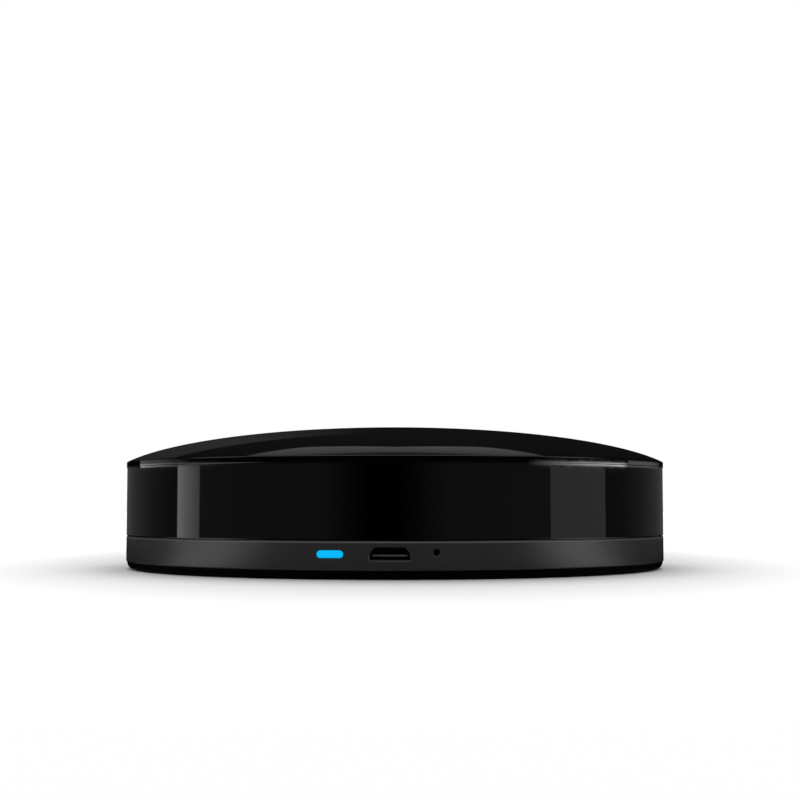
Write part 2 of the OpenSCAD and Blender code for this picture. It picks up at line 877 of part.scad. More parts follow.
// Plunger: a stem that stands out towards the pinhole and a wider head that keeps it in
module reset_switch_plunger() {
    color([0.2, 0.2, 0.2]) translate([pin_x, 0, pin_z - plunger_h / 2]) union() {
        translate([-plunger_w / 2, -plunger_tip, 0])
            cube([plunger_w, plunger_tip - head_face + plunger_head_l, plunger_h]);
        translate([-plunger_head_w / 2, -head_face, 0])
            cube([plunger_head_w, plunger_head_l, plunger_h]);
    }
}

// Snap dome that the plunger's head meets at the end of its travel
module reset_switch_dome() {
    half = snap_w / 2;
    arc_r = (half * half + snap_rise * snap_rise) / (2 * snap_rise);
    color([0.75, 0.75, 0.72]) translate([pin_x, -snap_face + arc_r, pin_z - snap_h / 2])
        linear_extrude(snap_h) intersection() {
            difference() {
                circle(r = arc_r);
                circle(r = arc_r - snap_t);
            }
            translate([-half, -arc_r]) square([snap_w, snap_rise]);
        }
}

// Sheet-metal cover under the switch, with a leg up each side
module reset_switch_cover() {
    w = switch_w + 2 * plate_t;
    color([0.72, 0.72, 0.7]) translate([pin_x, -switch_face, board_z - switch_h]) union() {
        translate([-w / 2, 0, 0]) cube([w, switch_l, plate_t]);
        for (x = [-w / 2, w / 2 - plate_t]) translate([x, (switch_l - plate_leg_l) / 2, 0])
            cube([plate_t, plate_leg_l, switch_h]);
    }
}

// Pan-head screw that points up, with the underside of its head at the origin
module screw_up(shank_d, shank_l, head_d, head_h, slot_l, slot_h) {
    difference() {
        rotate_extrude() polygon([
            [0, -head_h],
            [head_d / 2 - head_edge, -head_h],
            [head_d / 2, head_edge - head_h],
            [head_d / 2, 0],
            [shank_d / 2, 0],
            [shank_d / 2, shank_l - shank_d / 2],
            [0, shank_l]
        ]);
        for (turn = [0, 90]) rotate([0, 0, turn]) translate([0, 0, -head_h - overrun])
            block(slot_l, cross_w, slot_h + overrun);
    }
}

// Four screws from below, through the base and into the cover's bosses
module case_screws() {
    color([0.25, 0.25, 0.26]) for (turn = screw_turns) rotate([0, 0, turn])
        translate([boss_r, 0, foot_h + recess_h])
            screw_up(case_screw_d, case_screw_l, case_head_d, case_head_h, cross_l, cross_h);
}

// Three screws that hold the board down on its stands
module board_screws() {
    color([0.6, 0.6, 0.6]) at_stands() translate([0, 0, board_top]) mirror([0, 0, 1])
        screw_up(
            board_screw_d,
            board_screw_l,
            board_head_d,
            board_head_h,
            small_cross_l,
            small_cross_h
        );
}

top_cover();
ir_window_ring();
base_shell();
foot_ring();
main_board();
for (i = [1:emitter_count])
    ir_emitter(i);
ir_receiver();
wifi_module_board();
wifi_shield_can();
controller_chip();
voltage_regulator();
bulk_capacitor();
crystal();
driver_transistors();
led_resistors();
bypass_capacitors();
usb_socket_shell();
usb_socket_tongue();
usb_contacts();
status_led();
light_pipe();
reset_switch_body();
reset_switch_cover();
reset_switch_dome();
reset_switch_plunger();
case_screws();
board_screws();
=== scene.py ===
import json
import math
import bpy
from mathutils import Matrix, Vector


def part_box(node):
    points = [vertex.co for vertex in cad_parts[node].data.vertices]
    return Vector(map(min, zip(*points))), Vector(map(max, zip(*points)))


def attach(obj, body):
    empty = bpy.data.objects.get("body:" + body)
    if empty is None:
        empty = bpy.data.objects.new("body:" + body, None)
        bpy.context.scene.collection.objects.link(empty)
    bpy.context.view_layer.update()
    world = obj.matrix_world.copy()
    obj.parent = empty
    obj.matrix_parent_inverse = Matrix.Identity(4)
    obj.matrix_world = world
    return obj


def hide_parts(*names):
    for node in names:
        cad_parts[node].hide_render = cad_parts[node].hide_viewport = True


bl_info = {
    "name": "Infrared Blaster Puck",
    "version": (1, 0, 0),
    "blender": (4, 5, 0),
    "location": "3D View > Sidebar > Blaster",
    "description": "Dresses a round infrared blaster: domed cover, window band, satin base and rubber foot",
    "category": "Object",
}

import bmesh
import bpy
from bpy.props import BoolProperty, FloatProperty, FloatVectorProperty, IntProperty, PointerProperty
from mathutils import Vector

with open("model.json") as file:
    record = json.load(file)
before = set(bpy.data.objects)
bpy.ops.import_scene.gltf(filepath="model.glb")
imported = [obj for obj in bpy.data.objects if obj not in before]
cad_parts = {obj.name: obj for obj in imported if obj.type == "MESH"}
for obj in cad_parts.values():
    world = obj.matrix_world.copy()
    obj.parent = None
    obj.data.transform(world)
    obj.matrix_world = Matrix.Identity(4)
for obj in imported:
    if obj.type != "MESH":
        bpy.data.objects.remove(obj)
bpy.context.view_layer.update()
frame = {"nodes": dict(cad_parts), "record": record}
NODES = frame["nodes"]

MM = 0.001
FULL_TURN = 2 * math.pi
MERGE = 0.001 * MM
OVERRUN = 1 * MM
SMOOTH_UNDER = math.radians(32)

# Places that the frame gives
COVER_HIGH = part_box("top_cover")[1]
BAND_LOW, BAND_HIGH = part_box("ir_window_ring")
BASE_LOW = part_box("base_shell")[0]
FOOT_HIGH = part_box("foot_ring")[1]
SOCKET_LOW, SOCKET_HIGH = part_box("usb_socket_shell")
MOUNTS = {mount["name"]: mount for mount in frame["record"]["mounts"]}
PINHOLE = MOUNTS["reset_pinhole"]
SOCKET_MIDDLE = MOUNTS["usb_port"]["pos_m"][2]


class HousingSizes(bpy.types.PropertyGroup):
    """Sizes of the four round shells"""

    segments: IntProperty(
        name="Segments", description="Steps round the shells", default=384, min=32, max=512
    )
    dome_steps: IntProperty(
        name="Dome steps", description="Steps from the dome's top to its rim", default=84, min=8, max=128
    )
    dome_share: FloatProperty(
        name="Dome share",
        description="Share of the half ellipse that the dome's profile takes up",
        default=0.94,
        min=0.5,
        max=0.97,
    )
    lip_height: FloatProperty(
        name="Lip height", description="Height of the lip of the cover", default=1.2 * MM, unit="LENGTH"
    )
    wall: FloatProperty(
        name="Wall", description="Thickness of cover, band and base", default=2 * MM, unit="LENGTH"
    )
    base_floor: FloatProperty(
        name="Base floor", description="Thickness of the base's floor", default=1.5 * MM, unit="LENGTH"
    )
    seam_height: FloatProperty(
        name="Seam height",
        description="Height of the dark seam under the band",
        default=0.12 * MM,
        unit="LENGTH",
    )
    seam_depth: FloatProperty(
        name="Seam depth", description="Depth of that seam", default=0.45 * MM, unit="LENGTH"
    )
    edge_radius: FloatProperty(
        name="Edge radius", description="Radius of the moulded edges", default=0.2 * MM, unit="LENGTH"
    )
    foot_width: FloatProperty(
        name="Foot width", description="Width of the rubber ring", default=14.7 * MM, unit="LENGTH"
    )
    foot_edge: FloatProperty(
        name="Foot edge", description="Radius of the ring's outer edge", default=1.5 * MM, unit="LENGTH"
    )


class FrontSizes(bpy.types.PropertyGroup):
    """Sizes of the openings in the front of the base"""

    light_x: FloatProperty(
        name="Light place", description="Place of the light across the front", default=-11.1 * MM,
        unit="LENGTH",
    )
    light_z: FloatProperty(
        name="Light height", description="Height of the light's middle", default=4.4 * MM, unit="LENGTH"
    )
    light_width: FloatProperty(
        name="Light width", description="Width of the light", default=4.7 * MM, unit="LENGTH"
    )
    light_height: FloatProperty(
        name="Light size", description="Height of the light's face", default=1.3 * MM, unit="LENGTH"
    )
    plug_width: FloatProperty(
        name="Plug opening width", description="Width of the opening for the plug", default=7 * MM,
        unit="LENGTH",
    )
    plug_height: FloatProperty(
        name="Plug opening height", description="Height of that opening", default=2.2 * MM, unit="LENGTH"
    )
    chamfer: FloatProperty(
        name="Chamfer", description="Width of the openings' chamfers", default=0.14 * MM, unit="LENGTH"
    )


class FinishColours(bpy.types.PropertyGroup):
    """Colours of the visible finishes"""

    cover: FloatVectorProperty(
        name="Cover", description="Piano black of the cover", default=(0.0012, 0.0012, 0.0013),
        subtype="COLOR",
    )
    window: FloatVectorProperty(
        name="Window", description="Infrared-pass black of the band", default=(0.0006, 0.0004, 0.0005),
        subtype="COLOR",
    )
    base: FloatVectorProperty(
        name="Base", description="Satin grey of the base", default=(0.033, 0.033, 0.0332),
        subtype="COLOR",
    )
    foot: FloatVectorProperty(
        name="Foot", description="Black of the rubber", default=(0.0015, 0.0015, 0.0015), subtype="COLOR"
    )
    light: FloatVectorProperty(
        name="Light", description="Blue of the status light", default=(0.0006, 0.485, 0.956),
        subtype="COLOR",
    )
    screws: FloatVectorProperty(
        name="Screws", description="Black zinc of the screws", default=(0.03, 0.03, 0.032),
        subtype="COLOR",
    )


class StudioSettings(bpy.types.PropertyGroup):
    """Camera, floor and lamps"""

    ambient: FloatProperty(
        name="Ambient", description="Even light from all round", default=0.45, min=0, max=2
    )
    lamp: FloatProperty(
        name="Lamp", description="Power of the overhead lamp in watts", default=4.2, min=0, max=20
    )
    tent_radius: FloatProperty(
        name="Tent radius", description="Radius of the reflection tent", default=0.29, unit="LENGTH"
    )
    show_tent: BoolProperty(
        name="Tent", description="Give the gloss the photographer's cards to mirror", default=True
    )


def ellipse(radius, half_width, rise, apex, steps):
    """Points from the axis out to a radius along the top half of an ellipse"""
    last = math.asin(radius / half_width)
    return [
        (half_width * math.sin(last * i / steps), apex - rise * (1 - math.cos(last * i / steps)))
        for i in range(steps + 1)
    ]


def rounded(points, radii, steps=5, guard=0.02 * MM):
    """The outline with an arc at each corner that radii names, and a point on either side of the arc
    that keeps the flats beside it flat to the eye"""
    result = []
    count = len(points)
    for i, point in enumerate(points):
        radius = radii.get(i, 0)
        if not radius:
            result.append(tuple(point))
            continue
        here = Vector(point)
        before = (Vector(points[i - 1]) - here).normalized()
        after = (Vector(points[(i + 1) % count]) - here).normalized()
        half = before.angle(after) / 2
        start = here + before * radius / math.tan(half)
        end = here + after * radius / math.tan(half)
        centre = here + (before + after).normalized() * radius / math.sin(half)
        first, last = (start - centre) / radius, (end - centre) / radius
        result.append(tuple(start + before * guard))
        for step in range(steps + 1):
            result.append(tuple(centre + first.slerp(last, step / steps) * radius))
        result.append(tuple(end + after * guard))
    return result


def loose_outline(name, points):
    """A mesh of points in their order, as (radius, height) in the XZ plane"""
    mesh = bpy.data.meshes.new(name)
    mesh.from_pydata([(r, 0, z) for r, z in points], [(i, i + 1) for i in range(len(points) - 1)], [])
    return linked(name, mesh)


def linked(name, mesh):
    """An object for the mesh, linked to the scene"""
    item = bpy.data.objects.new(name, mesh)
    bpy.context.scene.collection.objects.link(item)
    return item


def new_tree(name, inputs):
    """An empty geometry node group with a geometry in, the named inputs and a geometry out"""
    tree = bpy.data.node_groups.new(name, "GeometryNodeTree")
    tree.interface.new_socket("Geometry", in_out="INPUT", socket_type="NodeSocketGeometry")
    for label, kind in inputs:
        tree.interface.new_socket(label, in_out="INPUT", socket_type=kind)
    tree.interface.new_socket("Geometry", in_out="OUTPUT", socket_type="NodeSocketGeometry")
    return tree


class Graph:
    """Adds nodes to a tree and joins them"""

    def __init__(self, tree):
        self.tree = tree

    def add(self, kind, links=None, **settings):
        """A node with its settings, and its inputs set or linked by name or place"""
        node = self.tree.nodes.new(kind)
        for key, value in settings.items():
            setattr(node, key, value)
        for key, value in (links or {}).items():
            socket = node.inputs[key]
            if isinstance(value, bpy.types.NodeSocket):
                self.tree.links.new(value, socket)
            else:
                socket.default_value = value
        return node

    def math(self, operation, first, second=0.0):
        """The output of a Math node"""
        return self.add("ShaderNodeMath", {0: first, 1: second}, operation=operation).outputs[0]

    def ramp(self, value, low, high, to_low=0.0, to_high=1.0):
        """The value mapped from one range to another and held at its ends"""
        places = {0: value, 1: low, 2: high, 3: to_low, 4: to_high}
        return self.add("ShaderNodeMapRange", places, clamp=True).outputs[0]


def finish_tree(graph, geometry, material):
    """Ends a geometry tree in Realize Instances and Set Material"""
    real = graph.add("GeometryNodeRealizeInstances", {0: geometry})
    painted = graph.add("GeometryNodeSetMaterial", {"Geometry": real.outputs[0], "Material": material})
    graph.add("NodeGroupOutput", {0: painted.outputs[0]})


def revolve_tree():
    """Turns an ordered outline of points round the Z axis into a closed skin"""
    tree = new_tree(
        "revolved_shell",
        [("Segments", "NodeSocketInt"), ("Merge", "NodeSocketFloat"), ("Material", "NodeSocketMaterial")],
    )
    graph = Graph(tree)
    given = graph.add("NodeGroupInput").outputs
    count = graph.add("GeometryNodeAttributeDomainSize", {0: given["Geometry"]}).outputs["Point Count"]
    around = graph.math("ADD", given["Segments"], 1)
    grid = graph.add("GeometryNodeMeshGrid", {"Vertices X": count, "Vertices Y": around})
    index = graph.add("GeometryNodeInputIndex").outputs[0]
    row = graph.math("FLOOR", graph.math("DIVIDE", graph.math("ADD", index, 0.5), around))
    column = graph.math("SUBTRACT", index, graph.math("MULTIPLY", row, around))
    angle = graph.math("DIVIDE", graph.math("MULTIPLY", column, FULL_TURN), given["Segments"])
    position = graph.add("GeometryNodeInputPosition").outputs[0]
    sample = graph.add("GeometryNodeSampleIndex", data_type="FLOAT_VECTOR", domain="POINT")
    tree.links.new(given["Geometry"], sample.inputs["Geometry"])
    tree.links.new(position, sample.inputs["Value"])
    tree.links.new(row, sample.inputs["Index"])
    turned = graph.add("ShaderNodeVectorRotate", rotation_type="Z_AXIS")
    tree.links.new(sample.outputs[0], turned.inputs["Vector"])
    tree.links.new(angle, turned.inputs["Angle"])
    placed = graph.add(
        "GeometryNodeSetPosition", {"Geometry": grid.outputs["Mesh"], "Position": turned.outputs[0]}
    )
    merged = graph.add(
        "GeometryNodeMergeByDistance", {"Geometry": placed.outputs[0], "Distance": given["Merge"]}
    )
    finish_tree(graph, merged.outputs[0], given["Material"])
    return tree


def round_tree():
    """Repeats the item round the Z axis at one radius and height"""
    tree = new_tree(
        "repeat_round",
        [
            ("Count", "NodeSocketInt"),
            ("Radius", "NodeSocketFloat"),
            ("First turn", "NodeSocketFloat"),
            ("Height", "NodeSocketFloat"),
            ("Material", "NodeSocketMaterial"),
        ],
    )
    graph = Graph(tree)
    given = graph.add("NodeGroupInput").outputs
    index = graph.add("GeometryNodeInputIndex").outputs[0]
    step = graph.math("DIVIDE", FULL_TURN, given["Count"])
    angle = graph.math("ADD", graph.math("MULTIPLY", index, step), given["First turn"])
    x = graph.math("MULTIPLY", graph.math("COSINE", angle), given["Radius"])
    y = graph.math("MULTIPLY", graph.math("SINE", angle), given["Radius"])
    place = graph.add("ShaderNodeCombineXYZ", {0: x, 1: y, 2: given["Height"]}).outputs[0]
    points = graph.add("GeometryNodePoints", {"Count": given["Count"], "Position": place})
    turn = graph.add("ShaderNodeCombineXYZ", {2: angle}).outputs[0]
    spin = graph.add("FunctionNodeEulerToRotation", {0: turn}).outputs[0]
    copies = graph.add(
        "GeometryNodeInstanceOnPoints",
        {"Points": points.outputs[0], "Instance": given["Geometry"], "Rotation": spin},
    )
    finish_tree(graph, copies.outputs[0], given["Material"])
    return tree


def grown(host, tree, values, name):
    """The plain mesh that the tree makes of the host, whose own object goes"""
    modifier = host.modifiers.new(tree.name, "NODES")
    modifier.node_group = tree
    for socket in tree.interface.items_tree:
        if socket.in_out == "INPUT" and socket.name in values:
            modifier[socket.identifier] = values[socket.name]
    return baked(host, name)


def baked(host, name):
    """The evaluated host as a plain mesh on a new object"""
    bpy.context.view_layer.update()
    evaluated = host.evaluated_get(bpy.context.evaluated_depsgraph_get())
    mesh = bpy.data.meshes.new_from_object(evaluated)
    mesh.name = name
    host.modifiers.clear()
    bpy.data.objects.remove(host)
    return linked(name, mesh)


def outward(item):
    """Merges doubles and points the faces of a closed mesh outwards"""
    work = bmesh.new()
    work.from_mesh(item.data)
    bmesh.ops.remove_doubles(work, verts=work.verts, dist=MERGE)
    bmesh.ops.dissolve_degenerate(work, edges=work.edges, dist=MERGE / 10)
    bmesh.ops.recalc_face_normals(work, faces=work.faces)
    if work.calc_volume(signed=True) < 0:
        bmesh.ops.reverse_faces(work, faces=work.faces)
    work.to_mesh(item.data)
    work.free()


def smoothed(item, limit=SMOOTH_UNDER):
    """Smooth shading with sharp edges past the limit"""
    item.data.shade_smooth()
    item.data.set_sharp_from_angle(angle=limit)


def shell(name, outline, material, segments=0):
    """A round shell from its outline, in as many steps as the housing has or as given"""
    segments = segments or bpy.context.scene.blaster_housing.segments
    values = {"Segments": segments, "Merge": MERGE, "Material": material}
    item = grown(loose_outline(name + "_outline", outline), revolve_tree(), values, name)
    outward(item)
    return item


def loft(name, loops):
    """A closed solid through loops of points, capped at both ends"""
    count = len(loops[0])
    points = [point for loop in loops for point in loop]
    faces = [list(range(count))[::-1], [len(points) - count + i for i in range(count)]]
    for level in range(len(loops) - 1):
        low = level * count
        for i in range(count):
            j = (i + 1) % count
            faces.append((low + i, low + j, low + count + j, low + count + i))
    mesh = bpy.data.meshes.new(name)
    mesh.from_pydata(points, [], faces)
    item = linked(name, mesh)
    outward(item)
    return item


def bar(name, low, high):
    """A closed solid box between two corners, for cutting"""
    rim = [(low[0], low[1]), (high[0], low[1]), (high[0], high[1]), (low[0], high[1])]
    return loft(name, [[(x, y, z) for x, y in rim] for z in (low[2], high[2])])


def disc_points(radius, steps, x=0.0, y=0.0):
    """Points of a circle"""
    return [
        (x + radius * math.cos(FULL_TURN * i / steps), y + radius * math.sin(FULL_TURN * i / steps))
        for i in range(steps)
    ]


def combined(item, tools, operation):
    """The item with each tool added or cut away, as a plain mesh"""
    for tool in tools:
        modifier = item.modifiers.new(tool.name, "BOOLEAN")
        modifier.operation = operation
        modifier.solver = "EXACT"
        modifier.object = tool
    result = baked(item, item.name)
    for tool in tools:
        bpy.data.objects.remove(tool)
    return result


def pill_outline(width, height, steps=16):
    """Outline with half-round ends"""
    radius = height / 2
    reach = width / 2 - radius
    right = [math.pi * (i / steps - 0.5) for i in range(steps + 1)]
    points = [(reach + radius * math.cos(a), radius * math.sin(a)) for a in right]
    return points + [(-x, -y) for x, y in points]


def plug_outline(width, height, corner_width, corner_height, radius):
    """Outline of the plug's opening, with its narrow side up"""
    points = [
        (-width / 2, -height / 2),
        (width / 2, -height / 2),
        (width / 2, height / 2 - corner_height),
        (width / 2 - corner_width, height / 2),
        (-width / 2 + corner_width, height / 2),
        (-width / 2, height / 2 - corner_height),
    ]
    return rounded(points, {i: radius for i in range(len(points))}, steps=4)


def wall_cutter(name, levels, x=0.0, z=0.0, turn=0.0):
    """A solid that cuts an outline through a round wall. Levels are pairs of a radius and an outline"""
    loops = []
    for radius, outline in levels:
        loop = []
        for u, v in outline:
            across = u + x
            away = -math.sqrt(radius * radius - across * across)
            loop.append(turned_about_z((across, away, z + v), turn))
        loops.append(loop)
    return loft(name, loops)


def turned_about_z(point, turn):
    """The point turned about the Z axis"""
    c, s = math.cos(turn), math.sin(turn)
    return (c * point[0] - s * point[1], s * point[0] + c * point[1], point[2])


def new_material(name):
    """An empty material and the graph that fills it"""
    material = bpy.data.materials.new(name)
    material.use_nodes = True
    material.node_tree.nodes.clear()
    return material, Graph(material.node_tree)


def object_point(graph):
    """The point on the piece, in metres from the puck's origin"""
    place = graph.add("ShaderNodeTexCoord").outputs["Object"]
    return graph.add("ShaderNodeMapping", {"Vector": place}).outputs[0]


def noise(graph, point, scale, detail=2.0):
    """Soft noise from 0 to 1, with its scale in cells a metre"""
    links = {"Vector": point, "Scale": scale, "Detail": detail}
    return graph.add("ShaderNodeTexNoise", links).outputs["Fac"]


def shades(graph, factor, colour, spread):
    """A colour that varies either way by a share of itself"""
    dark = [c * (1 - spread) for c in colour] + [1]
    light = [c * (1 + spread) for c in colour] + [1]
    mix = graph.add("ShaderNodeMix", {"Factor": factor}, data_type="RGBA")
    mix.inputs["A"].default_value = dark
    mix.inputs["B"].default_value = light
    return mix.outputs["Result"]


def mixed(graph, factor, first, second):
    """Two colours mixed by a factor. Each is a socket or a colour"""
    mix = graph.add("ShaderNodeMix", {"Factor": factor}, data_type="RGBA")
    for name, value in (("A", first), ("B", second)):
        if isinstance(value, bpy.types.NodeSocket):
            graph.tree.links.new(value, mix.inputs[name])
        else:
            mix.inputs[name].default_value = [*value, 1]
    return mix.outputs["Result"]


def moulded(name, colour, roughness, grain, depth, spread=0.12, roughness_spread=0.08, **more):
    """A moulded plastic or rubber with a fine grain. Grain is in cells a metre, depth in metres"""
    material, graph = new_material(name)
    point = object_point(graph)
    broad = noise(graph, point, grain / 20)
    fine = noise(graph, point, grain)
    links = {
        "Base Color": shades(graph, broad, colour, spread),
        "Roughness": graph.ramp(fine, 0.3, 0.7, roughness - roughness_spread, roughness + roughness_spread),
        "Normal": grain_normal(graph, fine, depth),
    }
    shader = graph.add("ShaderNodeBsdfPrincipled", {**links, **more})
    graph.add("ShaderNodeOutputMaterial", {"Surface": shader.outputs[0]})
    return material


def grain_normal(graph, height, depth):
    """The normal of a surface with this height"""
    links = {"Height": height, "Distance": depth, "Strength": 1.0}
    return graph.add("ShaderNodeBump", links).outputs[0]


def metal(name, colour, roughness, brush=0.0, grain=3000.0):
    """A metal with a fine grain, or with brush marks along X where brush is over 0"""
    material, graph = new_material(name)
    place = graph.add("ShaderNodeTexCoord").outputs["Object"]
    stretch = (1 - brush, 1, 1)
    point = graph.add("ShaderNodeMapping", {"Vector": place, "Scale": stretch}).outputs[0]
    fine = noise(graph, point, grain)
    links = {
        "Base Color": shades(graph, noise(graph, point, grain / 15), colour, 0.08),
        "Roughness": graph.ramp(fine, 0.3, 0.7, roughness * 0.75, roughness * 1.25),
        "Metallic": 1.0,
        "Normal": grain_normal(graph, fine, 0.002 * MM),
    }
    shader = graph.add("ShaderNodeBsdfPrincipled", links)
    graph.add("ShaderNodeOutputMaterial", {"Surface": shader.outputs[0]})
    return material


def cover_gloss():
    """Piano black: deep, mirror-like, with the faintest polishing haze"""
    colour = bpy.context.scene.blaster_colours.cover
    return moulded(
        "piano_black", colour, 0.03, 900, 0.0002 * MM, spread=0.3, roughness_spread=0.008
    )


def window_gloss():
    """Infrared-pass black: smoother than the cover, with a wine-dark tinge"""
    colour = bpy.context.scene.blaster_colours.window
    return moulded(
        "infrared_pass_black", colour, 0.03, 700, 0.0001 * MM, spread=0.3, roughness_spread=0.008
    )


def base_satin():
    """Satin plastic with a spark-eroded grain, and a painted highlight, a paler band, along its upper and
    lower edges
    """
    colours = bpy.context.scene.blaster_colours
    sizes = bpy.context.scene.blaster_housing
    material, graph = new_material("satin_grey")
    point = object_point(graph)
    height = graph.add("ShaderNodeSeparateXYZ", {0: point}).outputs["Z"]
    fine = noise(graph, point, 5200, 3)
    broad = noise(graph, point, 180)
    # The paler bands along the top and bottom edges are painted highlights, mixed into the base colour by
    # height
    rim = BAND_LOW.z - sizes.seam_height
    upper = graph.ramp(height, rim - 1.6 * sizes.edge_radius, rim - 0.8 * sizes.edge_radius)
    foot = BASE_LOW.z + sizes.edge_radius
    lower = graph.ramp(height, foot, foot + sizes.edge_radius, 0.08, 0.0)
    edge = graph.math("MAXIMUM", upper, lower)
    grey = shades(graph, broad, colours.base, 0.15)
    pale = [3.6 * c for c in colours.base]
    links = {
        "Base Color": mixed(graph, edge, grey, pale),
        "Roughness": graph.ramp(fine, 0.25, 0.75, 0.27, 0.36),
        "Normal": grain_normal(graph, fine, 0.003 * MM),
    }
    shader = graph.add("ShaderNodeBsdfPrincipled", links)
    graph.add("ShaderNodeOutputMaterial", {"Surface": shader.outputs[0]})
    return material


def foot_matt():
    """Matt rubber with a dry, slightly powdery skin"""
    colour = bpy.context.scene.blaster_colours.foot
    return moulded(
        "matt_rubber", colour, 0.75, 4000, 0.006 * MM, spread=0.25, **{"Specular IOR Level": 0.05}
    )


def lit_pill():
    """Translucent plastic that glows evenly, with a faint mottle"""
    colour = bpy.context.scene.blaster_colours.light
    material, graph = new_material("glowing_blue")
    point = object_point(graph)
    glow = shades(graph, noise(graph, point, 700), colour, 0.03)
    links = {
        "Base Color": (0.0, 0.01, 0.02, 1),
        "Roughness": 0.35,
        "Emission Color": glow,
        "Emission Strength": 1.0,
    }
    shader = graph.add("ShaderNodeBsdfPrincipled", links)
    graph.add("ShaderNodeOutputMaterial", {"Surface": shader.outputs[0]})
    return material


def socket_plastic():
    """Dark plastic of the socket's tongue, with a painted highlight: a pale band along the middle of its
    front
    """
    material, graph = new_material("socket_plastic")
    point = object_point(graph)
    height = graph.add("ShaderNodeSeparateXYZ", {0: point}).outputs["Z"]
    # The pale band along the tongue's front is a painted highlight
    line = SOCKET_MIDDLE - TONGUE_LINE_DROP
    beside = graph.math("ABSOLUTE", graph.math("SUBTRACT", height, line))
    painted_highlight_band = graph.ramp(beside, 0.3 * TONGUE_LINE, 0.7 * TONGUE_LINE, 1.0, 0.0)
    fine = noise(graph, point, 3000)
    dark = shades(graph, fine, (0.01, 0.01, 0.01), 0.2)
    links = {
        "Base Color": mixed(graph, painted_highlight_band, dark, (0.11, 0.11, 0.11)),
        "Roughness": graph.ramp(fine, 0.3, 0.7, 0.4, 0.5),
    }
    shader = graph.add("ShaderNodeBsdfPrincipled", links)
    graph.add("ShaderNodeOutputMaterial", {"Surface": shader.outputs[0]})
    return material


def board_green():
    """Solder mask over copper tracks, which show as slightly paler lines"""
    material, graph = new_material("solder_mask")
    point = object_point(graph)
    tracks = graph.add(
        "ShaderNodeTexBrick", {"Vector": point, "Scale": 260.0, "Mortar Size": 0.035}, offset=0.4
    )
    waves = graph.add("ShaderNodeTexWave", {"Vector": point, "Scale": 90.0, "Distortion": 3.0})
    lines = graph.math("MULTIPLY", tracks.outputs["Fac"], graph.ramp(waves.outputs["Fac"], 0.4, 0.6))
    green = shades(graph, noise(graph, point, 400), (0.01, 0.085, 0.04), 0.1)
    links = {
        "Base Color": mixed(graph, lines, green, (0.03, 0.17, 0.07)),
        "Roughness": graph.ramp(noise(graph, point, 1500), 0.3, 0.7, 0.22, 0.34),
        "Normal": grain_normal(graph, lines, 0.02 * MM),
    }
    shader = graph.add("ShaderNodeBsdfPrincipled", links)
    graph.add("ShaderNodeOutputMaterial", {"Surface": shader.outputs[0]})
    return material


def emitter_resin():
    """Smoke-blue clear resin"""
    return moulded(
        "tinted_resin", (0.14, 0.2, 0.36), 0.1, 500, 0.0005 * MM, roughness_spread=0.03,
        **{"Transmission Weight": 0.6, "IOR": 1.55},
    )


def painted(material, *names):
    """Gives CAD nodes this material in place of their own"""
    for name in names:
        node = NODES[name]
        if not node.material_slots:
            node.data.materials.append(material)
        for place in node.material_slots:
            place.material = material


def fitted(item, material, slot, *nodes):
    """Finishes a piece: its material, its body and the nodes that it stands for. The slot is not used"""
    item.data.materials.clear()
    item.data.materials.append(material)
    smoothed(item)
    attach(item, "root")
    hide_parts(*nodes)


SKIRT_GAP = 0.1 * MM
SKIRT_THICKNESS = 1.2 * MM
SKIRT_HEIGHT = 2 * MM
LIP_UNDER_EDGE = 0.12 * MM
TONGUE_THICKNESS = 1 * MM
TONGUE_HEIGHT = 1.2 * MM
FLOOR_CORNER = 0.8 * MM
KEY_HEIGHT = 0.4 * MM
KEY_INSET = 1.3 * MM
KEY_GAP = 0.05 * MM
FOOT_LEAD = 0.4 * MM
# Place and width of the painted highlight along the socket tongue's front
TONGUE_LINE_DROP = 0.32 * MM
TONGUE_LINE = 0.34 * MM


def cover_outline():
    """Half section of the domed cover, from the top of the dome round its lip to its underside"""
    sizes = bpy.context.scene.blaster_housing
    lip_r = COVER_HIGH.x
    top = COVER_HIGH.z
    lip_z = BAND_HIGH.z
    rise = top - lip_z - sizes.lip_height
    half = lip_r / sizes.dome_share
    full_rise = rise / (1 - math.sqrt(1 - sizes.dome_share**2))
    outer = ellipse(lip_r, half, full_rise, top, sizes.dome_steps)
    skirt_out = BAND_HIGH.x - sizes.wall - SKIRT_GAP
    skirt_in = skirt_out - SKIRT_THICKNESS
    skirt_z = lip_z - SKIRT_HEIGHT
    inner = ellipse(
        skirt_in, half - sizes.wall, full_rise - sizes.wall, top - sizes.wall, sizes.dome_steps // 2
    )
    rim = [(lip_r, lip_z), (skirt_out, lip_z), (skirt_out, skirt_z), (skirt_in, skirt_z)]
    corner = sizes.dome_steps
    radii = {corner: sizes.edge_radius, corner + 1: LIP_UNDER_EDGE, corner + 3: sizes.edge_radius}
    return rounded(outer + rim + inner[::-1], radii)


def band_outline():
    """Closed section of the window band, with its rebate for the base's tongue"""
    sizes = bpy.context.scene.blaster_housing
    outside = BAND_HIGH.x
    inside = outside - sizes.wall
    rebate_r = inside + TONGUE_THICKNESS + SKIRT_GAP
    rebate_z = BAND_LOW.z + TONGUE_HEIGHT + SKIRT_GAP
    points = [
        (rebate_r, BAND_LOW.z),
        (outside, BAND_LOW.z),
        (outside, BAND_HIGH.z),
        (inside, BAND_HIGH.z),
        (inside, rebate_z),
        (rebate_r, rebate_z),
    ]
    loop = rounded(points, {1: sizes.edge_radius})
    return loop + loop[:1]


